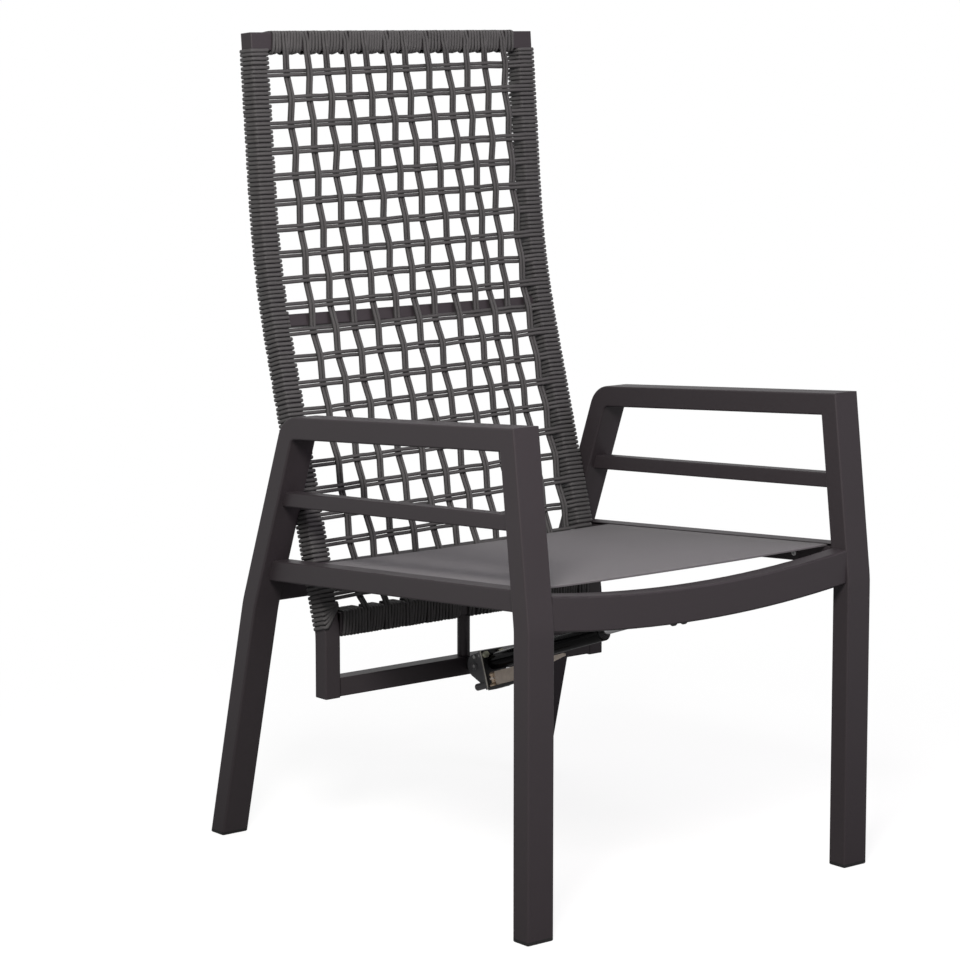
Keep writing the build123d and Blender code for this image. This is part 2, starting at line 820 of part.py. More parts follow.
def make_release_head():
    """Two cheeks on the gas spring's rear pivot, joined by a web that carries the flange."""
    angle = radians(head_waist_angle)
    waist = (-head_radius * cos(angle), -head_radius * sin(angle))
    cheek = make_face(Polyline((0, head_radius), (flange_start, head_above),
                               (flange_start, -head_below),
                               (flange_start - head_foot, -head_below),
                               (head_waist_along, -head_waist_below), waist, close=True))
    cheek += Circle(head_radius)
    cheek -= Circle(spring_pin_diameter / 2 + running_fit)
    cheek -= Pos(rivet_along, rivet_above) * Circle(rivet_diameter / 2)
    web = side_shape(spring_span(head_web_start, flange_start, -head_below, head_above),
                     spring_side, -head_width / 2, head_width / 2)
    head = web + side_shape(cheek, spring_side, head_inner, head_outer)
    head += side_shape(cheek, spring_side, -head_outer, -head_inner)
    return head - flange_bolt_shanks()


def spring_span(start, end, low, high):
    """A rectangle of the gas spring's side view."""
    return Pos((start + end) / 2, (low + high) / 2) * Rectangle(end - start, high - low)


def spring_rod(start, end, diameter, above=0, side=0):
    """A round bar along the gas spring's axis, or beside it."""
    plane = spring_station(start, above, side)
    return extrude(plane * Circle(diameter / 2), end - start)


def spring_station(along, above=0, side=0):
    """A plane square to the gas spring's axis."""
    origin = spring_rear + spring_along * along + spring_up * above + Vector(-side, 0, 0)
    return Plane(origin=origin, x_dir=(1, 0, 0), z_dir=spring_along)


def flange_bolt_shanks():
    return [spring_rod(head_web_start, cylinder_start, flange_bolt_diameter, flange_bolt_above,
                       side) for side in (-flange_bolt_side, flange_bolt_side)]


def make_flange():
    plate = side_shape(spring_span(flange_start, cylinder_start, -head_below, head_above),
                       spring_side, -head_width / 2, head_width / 2)
    return plate - flange_bolt_shanks()


def make_flange_bolts():
    bolts = []
    for side, shank in zip((-flange_bolt_side, flange_bolt_side), flange_bolt_shanks()):
        station = spring_station(cylinder_start, flange_bolt_above, side)
        head = extrude(station * RegularPolygon(flange_bolt_head / 2, 6), flange_bolt_height)
        tip = spring_rod(head_web_start - flange_nut_height, head_web_start,
                         flange_bolt_diameter, flange_bolt_above, side)
        bolts.append(head + shank + tip)
    return bolts


def make_flange_nuts():
    nuts = []
    for side in (-flange_bolt_side, flange_bolt_side):
        station = spring_station(head_web_start - flange_nut_height, flange_bolt_above, side)
        section = RegularPolygon(flange_nut / 2, 6) - Circle(flange_bolt_diameter / 2)
        nuts.append(extrude(station * section, flange_nut_height))
    return nuts


def double_headed_pin(point, diameter, reach, head_diameter, head_height):
    """A pin across the chair with a low head at each end."""
    pin = cross_pin(point, diameter, -reach, reach)
    head = cross_pin(point, head_diameter, reach, reach + head_height)
    head = chamfer(head.faces().sort_by(Axis.X)[-1].edges(), head_height / 3)
    return pin + head + mirrored(head)


def make_cylinder():
    """The gas spring's tube with its closed rear end."""
    tube = spring_rod(cylinder_start, cylinder_end, cylinder_diameter)
    ends = tube.edges().filter_by(GeomType.CIRCLE)
    tube = chamfer(ends, cylinder_edge)
    bore = cylinder_diameter - 2 * cylinder_wall
    return tube - spring_rod(cylinder_start + cylinder_base, cylinder_end, bore)


def make_rod_guide():
    bore = cylinder_diameter - 2 * cylinder_wall
    start = cylinder_end - guide_length
    return (spring_rod(start, cylinder_end, bore)
            - spring_rod(start, cylinder_end, piston_rod_diameter + 2 * running_fit))


piston_start = cylinder_end - guide_length - piston_offset - piston_length
neck_start = spring_length - eye_diameter / 2 - neck_length


def make_piston():
    diameter = cylinder_diameter - 2 * cylinder_wall - 2 * running_fit
    end = piston_start + piston_length
    return (spring_rod(piston_start, end, diameter)
            - spring_rod(piston_start, end, piston_rod_diameter))


def make_piston_rod():
    return spring_rod(piston_start, neck_start, piston_rod_diameter)


def make_rod_eye():
    """The eye on the front end of the piston rod, with a round neck."""
    eye = cross_pin(spring_front, eye_diameter, -eye_width / 2, eye_width / 2)
    eye += spring_rod(neck_start, spring_length, neck_diameter)
    return eye - cross_pin(spring_front, spring_pin_diameter, -eye_width, eye_width)


bracket_inner = eye_width / 2 + bracket_gap
bracket_outer = bracket_inner + bracket_plate


def make_front_bracket():
    """A base on the back of the apron with two plates whose slots guide the front pin."""
    apron = apron_middle()
    back = apron.Y + apron_depth / 2
    base = Pos(0, back + bracket_plate / 2, apron.Z) * Box(bracket_base_width, bracket_plate,
                                                           bracket_base_height)
    local = Plane(origin=spring_front, x_dir=(0, 1, 0), z_dir=(1, 0, 0))
    shift = pin_sway / 2
    turned = Rot(0, 0, pin_slot_angle)
    run = pin_travel + 2 * pin_play
    width = spring_pin_diameter + pin_sway + 2 * pin_play
    slot = turned * Pos(0, shift) * SlotCenterToCenter(run, width)
    rim = turned * Pos(0, shift) * SlotCenterToCenter(run, width + 2 * bracket_rim)
    near = back + bracket_plate - spring_front.Y
    high = apron.Z + bracket_base_height / 2 - spring_front.Z
    low = apron.Z - bracket_base_height / 2 - spring_front.Z
    root = Line((near, low), (near, high))
    outline = make_hull([*rim.edges(), root.edge()])
    plate = side_shape(outline - slot, local, bracket_inner, bracket_outer)
    return base + plate + mirrored(plate)


def make_cable_socket():
    """A short tube on the web where a release cable would end."""
    start, end = head_web_start - socket_length, head_web_start
    place = (-socket_below, socket_side)
    return (spring_rod(start, end, socket_diameter, *place)
            - spring_rod(start, start + socket_length / 2, socket_bore, *place))


def make_lever_shelf():
    outline = make_face(Polyline((cylinder_start, -shelf_below), (shelf_length, -shelf_below),
                                 (shelf_length, -shelf_below - shelf_tip_thickness),
                                 (shelf_step, -shelf_below - shelf_thickness),
                                 (cylinder_start, -shelf_below - shelf_thickness), close=True))
    return side_shape(outline, spring_side, shelf_inner_side, shelf_outer_side)


def make_lever_post():
    """A turned brass post: a wide foot, a flare, a slim neck and a head with a bevelled edge."""
    height = shelf_below - lever_above
    neck_top = height - post_head_height
    radius = post_head / 2
    profile = Polyline((0, height), (0, 0), (post_foot / 2, 0), (post_foot / 2, post_foot_height),
                       (post_neck / 2, post_foot_height + post_flare_height),
                       (post_neck / 2, neck_top), (radius, neck_top),
                       (radius, height - radius / 2), (radius / 2, height), close=True)
    base = (spring_rear + spring_along * post_along - spring_up * shelf_below
            + Vector(-lever_side, 0, 0))
    stand = Plane(origin=base, x_dir=(1, 0, 0), z_dir=spring_up)
    return stand.location * revolve(Plane.XZ * make_face(profile), Axis.Z)


def make_release_lever():
    """A plate on edge with a long taper to its tip and an eye round the post."""
    start = post_along + post_foot / 2 + seat_gap
    outline = make_face(Polyline((start, -lever_above), (lever_tip_along, -lever_above),
                                 (lever_tip_along, -lever_above - lever_tip_height),
                                 (lever_deep_end, -lever_below), (start, -lever_below),
                                 close=True))
    outline = fillet(outline.vertices(), lever_tip_height / 4)
    lever = side_shape(outline, spring_side, lever_side - lever_thickness / 2,
                       lever_side + lever_thickness / 2)
    base = (spring_rear + spring_along * post_along - spring_up * lever_eye_below
            + Vector(-lever_side, 0, 0))
    flat = Plane(origin=base, x_dir=spring_along, z_dir=spring_up)
    reach = start - post_along + lever_thickness
    eye = Circle(lever_eye_diameter / 2) + Pos(reach / 2, 0) * Rectangle(reach, lever_thickness)
    lever += extrude(flat * eye, lever_eye_height / 2, both=True)
    return lever - extrude(flat * Circle(post_neck / 2 + running_fit), lever_eye_height,
                           both=True)


def pair(name, right_part):
    """The same piece on both sides."""
    return {f"left_{name}": mirrored(right_part), f"right_{name}": right_part}


def mirrored_pair(name, left_part):
    return {f"left_{name}": left_part, f"right_{name}": mirrored(left_part)}


def both_sides(right_part):
    return [mirrored(right_part), right_part]


glides = [make_glide(front_leg_bar), make_glide(rear_leg_bar)]
nodes = {
    **mirrored_pair("front_leg", make_front_leg()),
    **mirrored_pair("rear_leg", make_rear_leg()),
    **mirrored_pair("armrest", make_armrest()),
    **mirrored_pair("middle_rail", make_middle_rail()),
    **mirrored_pair("seat_rail", make_seat_rail()),
    "front_apron": make_apron(),
    "rear_cross_tube": make_rear_cross_tube(),
    "foot_glides": glides + [mirrored(glide) for glide in glides],
    "seat_cloth": make_seat_cloth(),
    **mirrored_pair("edge_strip", make_edge_strip()),
    "lock_screws": make_lock_screws(),
    **pair("back_side_tube", make_back_side_tube()),
    "back_top_tube": make_back_top_tube(),
    "back_middle_crossbar": make_middle_crossbar(),
    "back_lower_crossbar": make_lower_crossbar(),
    "back_bottom_bar": make_bottom_bar(),
    "back_centre_post": make_centre_post(),
    "tube_end_plugs": both_sides(make_end_plug()),
    "back_lattice": make_lattice(),
    "top_winding": make_top_winding(),
    "lower_winding": make_lower_winding(),
    "hinge_bolts": both_sides(make_hinge_bolt()),
    "hinge_bushes": both_sides(make_hinge_bush()),
    "hinge_washers": both_sides(make_hinge_washer()),
    "hinge_inserts": both_sides(make_hinge_insert()),
    "spring_lug": make_spring_lug(),
    "release_head": make_release_head(),
    "spring_pivot_pin": double_headed_pin(spring_rear, spring_pin_diameter, head_outer,
                                          spring_pin_head, spring_pin_head_height),
    "head_rivet": double_headed_pin(spring_rear + spring_along * rivet_along
                                    + spring_up * rivet_above, rivet_diameter, head_outer,
                                    rivet_head_diameter, rivet_head_height),
    "cable_socket": make_cable_socket(),
    "spring_flange": make_flange(),
    "flange_bolts": make_flange_bolts(),
    "flange_nuts": make_flange_nuts(),
    "spring_cylinder": make_cylinder(),
    "rod_guide": make_rod_guide(),
    "piston": make_piston(),
    "piston_rod": make_piston_rod(),
    "rod_eye": make_rod_eye(),
    "front_pin": double_headed_pin(spring_front, spring_pin_diameter,
                                   bracket_outer + bracket_gap, spring_pin_head,
                                   spring_pin_head_height),
    "front_bracket": make_front_bracket(),
    "lever_shelf": make_lever_shelf(),
    "lever_post": make_lever_post(),
    "release_lever": make_release_lever(),
}
side_winding = make_side_winding()
nodes["right_winding"] = side_winding
nodes["left_winding"] = [mirrored(piece) for piece in side_winding]

os.makedirs("parts", exist_ok=True)
for name, node in nodes.items():
    solids = []
    for piece in node if isinstance(node, list) else [node]:
        solids.extend(piece.solids())
    export_step(solids[0] if len(solids) == 1 else Compound(children=solids),
                f"parts/{name}.step")
print("hinge", hinge_point, "spring length", round(spring_length, 2))
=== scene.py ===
import math
import random

import bpy
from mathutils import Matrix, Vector


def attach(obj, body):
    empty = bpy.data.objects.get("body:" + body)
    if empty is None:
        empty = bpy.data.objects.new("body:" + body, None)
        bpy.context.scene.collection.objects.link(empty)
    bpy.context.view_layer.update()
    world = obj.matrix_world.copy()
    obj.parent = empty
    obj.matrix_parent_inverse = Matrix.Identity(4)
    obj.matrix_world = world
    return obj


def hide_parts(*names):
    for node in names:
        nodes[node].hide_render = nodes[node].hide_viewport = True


# Reclining garden armchair, in metres, +Z up. The sitter looks along -Y. The CAD nodes are the
# frame and the hardware. The cords and the seat cloth are modelled here, in the order in which
# the chair is put together.
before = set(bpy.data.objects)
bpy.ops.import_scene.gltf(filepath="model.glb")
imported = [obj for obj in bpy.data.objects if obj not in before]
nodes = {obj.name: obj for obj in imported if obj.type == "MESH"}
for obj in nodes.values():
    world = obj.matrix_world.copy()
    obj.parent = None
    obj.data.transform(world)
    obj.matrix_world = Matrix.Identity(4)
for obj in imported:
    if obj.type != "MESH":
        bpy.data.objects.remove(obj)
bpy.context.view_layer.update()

# Camera, at the place and with the long lens that the photograph's straight edges give.
CAMERA_PLACE = Vector((-2.6604, -3.1648, 1.1449))
CAMERA_TURN = math.radians(39.05)
CAMERA_DROP = math.radians(7.18)
LENS = 114.85
SENSOR_WIDTH = 36
SHIFT_UP = -0.0833
FARTHEST = 100
bpy.ops.object.camera_add(location=CAMERA_PLACE,
                          rotation=(math.pi / 2 - CAMERA_DROP, 0, -CAMERA_TURN))
camera = bpy.context.object
camera.data.lens = LENS
camera.data.sensor_width = SENSOR_WIDTH
camera.data.shift_y = SHIFT_UP
camera.data.clip_end = FARTHEST
bpy.context.scene.camera = camera
bpy.context.scene.view_settings.view_transform = "Standard"


# Powder coat: a dark, slightly purplish grey with a fine orange peel, baked on all the tubes.
class Signal:
    """A socket of a material's nodes. Arithmetic on it adds Math nodes."""

    def __init__(self, finish, socket):
        self.finish = finish
        self.socket = socket

    def math(self, operation, *others):
        return self.finish.node("ShaderNodeMath", {"operation": operation},
                                **{f"in{i}": v for i, v in enumerate((self, *others))})

    def __add__(self, other):
        return self.math("ADD", other)

    def __sub__(self, other):
        return self.math("SUBTRACT", other)

    def __mul__(self, other):
        return self.math("MULTIPLY", other)

    def sine(self):
        return self.math("SINE")

    def absolute(self):
        return self.math("ABSOLUTE")

    def larger(self, other):
        return self.math("MAXIMUM", other)

    def part(self, index):
        return Signal(self.finish, self.socket.node.outputs[index])


class Finish:
    """A material made of nodes, with its Principled shader."""

    def __init__(self, name):
        self.material = bpy.data.materials.new(name)
        self.material.use_nodes = True
        self.nodes = self.material.node_tree.nodes
        self.links = self.material.node_tree.links
        self.shader = self.nodes["Principled BSDF"]

    def join(self, value, socket):
        if isinstance(value, Signal):
            self.links.new(value.socket, socket)
        else:
            socket.default_value = value

    def node(self, kind, settings=None, output=0, **inputs):
        """Adds a node. An input is named by its socket, with _ for a space, or inN by its place."""
        node = self.nodes.new(kind)
        for name, value in (settings or {}).items():
            setattr(node, name, value)
        for name, value in inputs.items():
            if name.startswith("in") and name[2:].isdigit():
                socket = node.inputs[int(name[2:])]
            else:
                socket = node.inputs[name.replace("_", " ")]
            self.join(value, socket)
        return Signal(self, node.outputs[output])

    def place(self, scale=1.0):
        """Object coordinates, in units of 1/scale metres."""
        here = self.node("ShaderNodeTexCoord", output=3)
        return self.node("ShaderNodeVectorMath", {"operation": "SCALE"}, in0=here, Scale=scale)

    def noise(self, scale, detail=2.0, roughness=0.5):
        return self.node("ShaderNodeTexNoise", Vector=self.place(), Scale=scale, Detail=detail,
                         Roughness=roughness)

    def ranged(self, value, low, high, start=0.0, end=1.0):
        """A value that runs from low to high while another runs from start to end."""
        return self.node("ShaderNodeMapRange", Value=value, From_Min=start, From_Max=end,
                         To_Min=low, To_Max=high)

    def blend(self, factor, dark, light):
        """A colour between two colours. The lighter one may come from nodes."""
        return self.node("ShaderNodeMix", {"data_type": "RGBA"}, output=2, Factor=factor,
                         in6=(*dark, 1.0),
                         in7=light if isinstance(light, Signal) else (*light, 1.0))

    def set(self, **sockets):
        for name, value in sockets.items():
            self.join(value, self.shader.inputs[name.replace("_", " ")])
        return self

    def bump(self, height, distance, strength):
        normal = self.node("ShaderNodeBump", Height=height, Distance=distance,
                           Strength=strength)
        self.join(normal, self.shader.inputs["Normal"])
        return self


def dress(finish, *names):
    """Gives CAD nodes a material."""
    for name in names:
        mesh = nodes[name].data
        mesh.materials.clear()
        mesh.materials.append(finish.material)


COAT_DARK = (0.0475, 0.0395, 0.0445)
COAT_LIGHT = (0.0575, 0.0482, 0.054)
coat = Finish("powder coat")
peel = coat.noise(900.0, 2.0, 0.55)
patches = coat.noise(14.0, 3.0, 0.6)
grain = coat.noise(3200.0, 1.0)
coat.set(Base_Color=coat.blend(patches * 0.6 + grain * 0.4, COAT_DARK, COAT_LIGHT),
         Roughness=coat.ranged(patches, 0.4, 0.52), Specular_IOR_Level=0.35)
coat.bump(peel, 0.00006, 0.5)
dress(coat, "left_front_leg", "right_front_leg", "left_rear_leg", "right_rear_leg",
      "left_armrest", "right_armrest", "left_middle_rail", "right_middle_rail",
      "left_seat_rail", "right_seat_rail", "front_apron", "rear_cross_tube",
      "left_back_side_tube", "right_back_side_tube", "back_top_tube", "back_middle_crossbar",
      "back_lower_crossbar", "back_bottom_bar", "back_centre_post")

# Glides, plugs, washers and bushes of black nylon, moulded with a fine matte texture.
nylon = Finish("black nylon")
nylon_grain = nylon.noise(1500.0, 2.0)
nylon.set(Base_Color=nylon.blend(nylon_grain, (0.012, 0.012, 0.013), (0.024, 0.024, 0.025)),
          Roughness=nylon.ranged(nylon_grain, 0.5, 0.68))
nylon.bump(nylon_grain, 0.00008, 0.6)
dress(nylon, "foot_glides", "tube_end_plugs", "left_edge_strip", "right_edge_strip",
      "hinge_bushes", "hinge_washers", "rod_guide")

# The seat: one cloth of coarse woven yarn, stretched between the seat rails and hemmed at the
# front and rear. Its sides run through the slots of the rails and round the edge strips.
FRONT_FACES = -0.349
CLOTH_HALF = 0.2575
CLOTH_SIDE = 0.2655
CLOTH_THICKNESS = 0.0016
CLOTH_SAG = 0.002
RAIL_TOP_DEPTH = 0.080
RAIL_TOP_HEIGHT = 0.4375
RAIL_FALL = math.radians(3.9)
CLOTH_FRONT = 0.044
CLOTH_REAR = 0.486
HEM_WIDTH = 0.024
HEM_EXTRA = 0.0012
CLOTH_BELOW = 0.0014
CLOTH_DIP = 0.0014
DIP_REACH = 0.06
EDGE_SOFTNESS = CLOTH_THICKNESS * 0.3


def rail_top(depth):
    """The height of the seat rails' top at a depth behind the front faces."""
    return RAIL_TOP_HEIGHT - (depth - RAIL_TOP_DEPTH) * math.tan(RAIL_FALL)


COLUMNS = 48
ROWS = 44
bpy.ops.object.select_all(action="DESELECT")
bpy.ops.mesh.primitive_grid_add(x_subdivisions=COLUMNS, y_subdivisions=ROWS, size=1)
cloth = bpy.context.object
cloth.name = "seat_cloth_sheet"
for vertex in cloth.data.vertices:
    across = vertex.co.x * 2 * CLOTH_SIDE
    depth = CLOTH_FRONT + (vertex.co.y + 0.5) * (CLOTH_REAR - CLOTH_FRONT)
    sag = CLOTH_SAG * (1 - min(abs(across) / CLOTH_HALF, 1) ** 2)
    to_edge = min(depth - CLOTH_FRONT, CLOTH_REAR - depth)
    dip = CLOTH_DIP * min(to_edge / DIP_REACH, 1) * (1 - min(abs(across) / CLOTH_HALF, 1) ** 4)
    vertex.co = (across, depth + FRONT_FACES,
                 rail_top(depth) - CLOTH_BELOW - CLOTH_THICKNESS / 2 - sag - dip)
modifier = cloth.modifiers.new("thickness", "SOLIDIFY")
modifier.thickness = CLOTH_THICKNESS
modifier.offset = 0
modifier = cloth.modifiers.new("soft edges", "BEVEL")
modifier.width = EDGE_SOFTNESS
modifier.segments = 2
bpy.ops.object.modifier_apply(modifier="thickness")
for vertex in cloth.data.vertices:
    depth = vertex.co.y - FRONT_FACES
    middle = (rail_top(depth) - CLOTH_BELOW - CLOTH_THICKNESS / 2
              - CLOTH_SAG * (1 - min(abs(vertex.co.x) / CLOTH_HALF, 1) ** 2))
    in_hem = min(depth - CLOTH_FRONT, CLOTH_REAR - depth) < HEM_WIDTH
    if in_hem and abs(vertex.co.x) < CLOTH_HALF and vertex.co.z < middle - CLOTH_THICKNESS / 4:
        vertex.co.z -= HEM_EXTRA
bpy.ops.object.modifier_apply(modifier="soft edges")
bpy.ops.object.shade_smooth()

YARN = 0.00125
textile = Finish("seat textile")
here = textile.place(2 * math.pi / YARN)
axes = textile.node("ShaderNodeSeparateXYZ", Vector=here)
warp = axes.part(0).sine()
weft = axes.part(1).sine()
pick = (axes.part(0) * 0.5).sine() * (axes.part(1) * 0.5).sine()
weave = (warp.absolute() + weft.absolute()) * 0.35 + pick * 0.3 + 0.25
speckle = textile.noise(820.0, 2.0, 0.7)
soft_patch = textile.noise(9.0, 3.0)
textile.set(Base_Color=textile.blend((weave * 0.5 + speckle * 0.7 - 0.1),
                                     (0.115, 0.108, 0.115), (0.345, 0.332, 0.347)),
            Roughness=textile.ranged(soft_patch, 0.62, 0.8))
textile.bump(weave, 0.0004, 0.55)
cloth.data.materials.append(textile.material)
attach(cloth, "frame")
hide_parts("seat_cloth")

# The backrest's line, seen from the side: low and upright, then leaning 16 degrees, then 5.
# The tubes and everything that is wound or woven on them follow it.
BACK_FRONT = 0.488 + FRONT_FACES
LOW_BEND = 0.318
HIGH_BEND = 0.793
LOW_LEAN = math.radians(16)
HIGH_LEAN = math.radians(5)
FACE_RADIUS = 1.080 - 0.0125
BACK_TOP = 1.1195
TUBE = 0.025
TUBE_OUTER = 0.250
TUBE_INNER = TUBE_OUTER - TUBE
bend_depth = BACK_FRONT + (HIGH_BEND - LOW_BEND) * math.tan(LOW_LEAN)
reach = FACE_RADIUS * math.tan((LOW_LEAN - HIGH_LEAN) / 2)
arc_start = Vector((bend_depth - reach * math.sin(LOW_LEAN),
                    HIGH_BEND - reach * math.cos(LOW_LEAN)))
arc_end = HIGH_BEND + reach * math.cos(HIGH_LEAN)
arc_centre = arc_start - FACE_RADIUS * Vector((math.cos(LOW_LEAN), -math.sin(LOW_LEAN)))


def back_face(height):
    """Depth and lean of the backrest's front face at a height."""
    if height < LOW_BEND:
        return BACK_FRONT, 0.0
    if height < arc_start.y:
        return BACK_FRONT + (height - LOW_BEND) * math.tan(LOW_LEAN), LOW_LEAN
    if height < arc_end:
        lean = math.asin((arc_centre.y - height) / FACE_RADIUS)
        return arc_centre.x + FACE_RADIUS * math.cos(lean), lean
    return bend_depth + (height - HIGH_BEND) * math.tan(HIGH_LEAN), HIGH_LEAN


def on_back(across, height, behind):
    """A point a distance behind the backrest's front face."""
    depth, lean = back_face(height)
    return Vector((across, depth + behind * math.cos(lean), height - behind * math.sin(lean)))


# Cord: soft rope with a braided cover of dark grey yarn, pressed flat where it is pulled round
# a tube. It is wound round the tubes, and between them doubled runs are woven to a lattice.
CORD = 0.0057
CORD_WIDTH = 0.0052
ROUND = 0.0050
PRESSED = 0.0031
CORD_SIDES = 8
ON_FACE = PRESSED / 2
EDGE_STEP = 0.001
CORNER = 0.002
WIDE_CORNER = 0.003
chance = random.Random(7)


def cord_point(place, outward, thickness=PRESSED):
    """A place on a cord's middle line, with the way its thin side faces and how thick it is."""
    return Vector((*place, *outward.normalized(), thickness))


def smooth_run(points, steps):
    """Points on a smooth line through some points, with some steps from each to the next."""
    last = len(points) - 1
    run = []
    for index in range(last):
        a, b, c, d = (points[min(max(index + k, 0), last)] for k in (-1, 0, 1, 2))
        for step in range(steps):
            t = step / steps
            run.append(0.5 * ((2 * b) + (c - a) * t + (2 * a - 5 * b + 4 * c - d) * t * t
                              + (3 * b - a - 3 * c + d) * t ** 3))
    return run + [points[-1]]


def lay_cords(name, runs):
    """One mesh with an oval cord along each run of points, closed at its ends."""
    vertices, faces, places = [], [], []
    for run in runs:
        first = len(vertices)
        length = 0.0
        middles = [Vector(point[:3]) for point in run]
        for index, point in enumerate(run):
            before, after = middles[max(index - 1, 0)], middles[min(index + 1, len(run) - 1)]
            along = (after - before).normalized()
            outward = Vector(point[3:6])
            outward = (outward - along * outward.dot(along)).normalized()
            side = along.cross(outward)
            if index:
                length += (middles[index] - before).length
            for corner in range(CORD_SIDES):
                turn = 2 * math.pi * corner / CORD_SIDES
                vertices.append(middles[index] + side * math.cos(turn) * CORD_WIDTH / 2
                                + outward * math.sin(turn) * point[6] / 2)
                places.append((corner / CORD_SIDES, length))
        for index in range(len(run) - 1):
            low = first + index * CORD_SIDES
            for corner in range(CORD_SIDES):
                after = (corner + 1) % CORD_SIDES
                faces.append((low + corner, low + after, low + CORD_SIDES + after,
                              low + CORD_SIDES + corner))
        last = first + (len(run) - 1) * CORD_SIDES
        faces.append(tuple(first + corner for corner in reversed(range(CORD_SIDES))))
        faces.append(tuple(last + corner for corner in range(CORD_SIDES)))
    mesh = bpy.data.meshes.new(name)
    mesh.from_pydata(vertices, [], faces)
    layer = mesh.uv_layers.new(name="along the cord")
    for face in mesh.polygons:
        around = [places[vertex][0] for vertex in face.vertices]
        wraps = len(face.vertices) == 4 and max(around) - min(around) > 0.5
        for loop in face.loop_indices:
            u, v = places[mesh.loops[loop].vertex_index]
            layer.data[loop].uv = (u + 1 if wraps and u < 0.5 else u, v)
    mesh.shade_smooth()
    piece = bpy.data.objects.new(name, mesh)
    bpy.context.scene.collection.objects.link(piece)
    return piece


braid = Finish("braided cord")
uv = braid.node("ShaderNodeUVMap", {"uv_map": "along the cord"})
where = braid.node("ShaderNodeSeparateXYZ", Vector=uv)
BRAID_PITCH = 0.0042
BRAID_STRANDS = 4
spin = where.part(0) * (2 * math.pi * BRAID_STRANDS)
slide = where.part(1) * (2 * math.pi / BRAID_PITCH)
plait = ((spin + slide).sine() * (spin - slide).sine()).absolute()
yarn_noise = braid.noise(1400.0, 2.0, 0.6)
shade_patch = braid.noise(22.0, 2.0)
# Painted shade: the cord's sides, where turns and cords press against each other, are darkened, and
# its crown facing out is made lighter as painted light.
crown_shade_mask = (where.part(0) * (2 * math.pi)).sine().absolute()
braid_tone_with_painted_shade = (plait * 0.45 + yarn_noise * 0.35 + shade_patch * 0.2) * braid.ranged(crown_shade_mask, -0.1, 1.35)
braid.set(Base_Color=braid.blend(braid_tone_with_painted_shade, (0.02, 0.0193, 0.0196), (0.17, 0.163, 0.166)),
          Roughness=0.62, Sheen_Weight=0.15, Sheen_Roughness=0.4)
braid.bump(plait + yarn_noise * 0.4, 0.0005, 0.5)

# Lattice: twelve upright and twenty-one level pairs of cord, woven over one and under one. The
# uprights lean to the left at the top, every other one more, and the levels rise to the right.
AT_TOP_TUBE = (-0.1955, -0.1595, -0.1275, -0.0905, -0.0595, -0.0205, 0.0105, 0.0505, 0.0835,
               0.1245, 0.1565, 0.1925)
AT_FIRST_LEVEL = (-0.188, -0.153, -0.119, -0.085, -0.049, -0.014, 0.020, 0.058, 0.095, 0.128,
                  0.164, 0.199)
SETTLED = (-0.180, -0.1445, -0.109, -0.071, -0.033, 0.003, 0.036, 0.0755, 0.111, 0.141, 0.171,
           0.206)
SETTLED_LEVEL = 8
UPRIGHTS = len(SETTLED)
LEVELS = 21
LEVEL_TOP = 1.0685
LEVEL_PITCH = 0.0353
LEVEL_TILT = 0.008 / 0.39
WEAVE_MIDDLE = 0.0045
WEAVE_SWING = 0.0027
PAIR_APART = 0.0054
UPRIGHT_WANDER = 0.0008
LEVEL_WANDER = 0.0005
UNDER_TUBE_ROW = 0.45
ODD_LEAN = 0.0025
UNDER_LEAN = 0.003
LIFT_AT_TOP, LIFT_AT_MIDDLE, LIFT_AT_FOOT = 0.0003, 0.0009, 0.0011
BAR_ENTRY = 0.006
LOWER_BAR_BOTTOM = 0.306
LOWER_BAR_TOP = 0.336
TOP_TUBE = 0.0255
TOP_MIDDLE = on_back(0, BACK_TOP - TOP_TUBE / 2, TUBE / 2)
LOWER_MIDDLE = Vector((0, BACK_FRONT + TUBE / 2, (LOWER_BAR_BOTTOM + LOWER_BAR_TOP) / 2))
to_front = Vector((0, -1, 0))


def upright_across(index, row):
    """Where an upright pair crosses a level row. Row 0 is the top tube."""
    if row < 1:
        return AT_TOP_TUBE[index] + (AT_FIRST_LEVEL[index] - AT_TOP_TUBE[index]) * row
    share = min((row - 1) / (SETTLED_LEVEL - 1), 1)
    return AT_FIRST_LEVEL[index] + (SETTLED[index] - AT_FIRST_LEVEL[index]) * share


def level_height(row, across):
    return LEVEL_TOP - LEVEL_PITCH * (row - 1) + LEVEL_TILT * across


def over(index, row):
    """Whether an upright pair passes in front of a level one."""
    return (index + row) % 2 == 0


def round_tube(place, middle):
    """A place on a cord that is wound round a tube that runs across the chair."""
    return cord_point(place, Vector((0, place.y - middle.y, place.z - middle.z)))


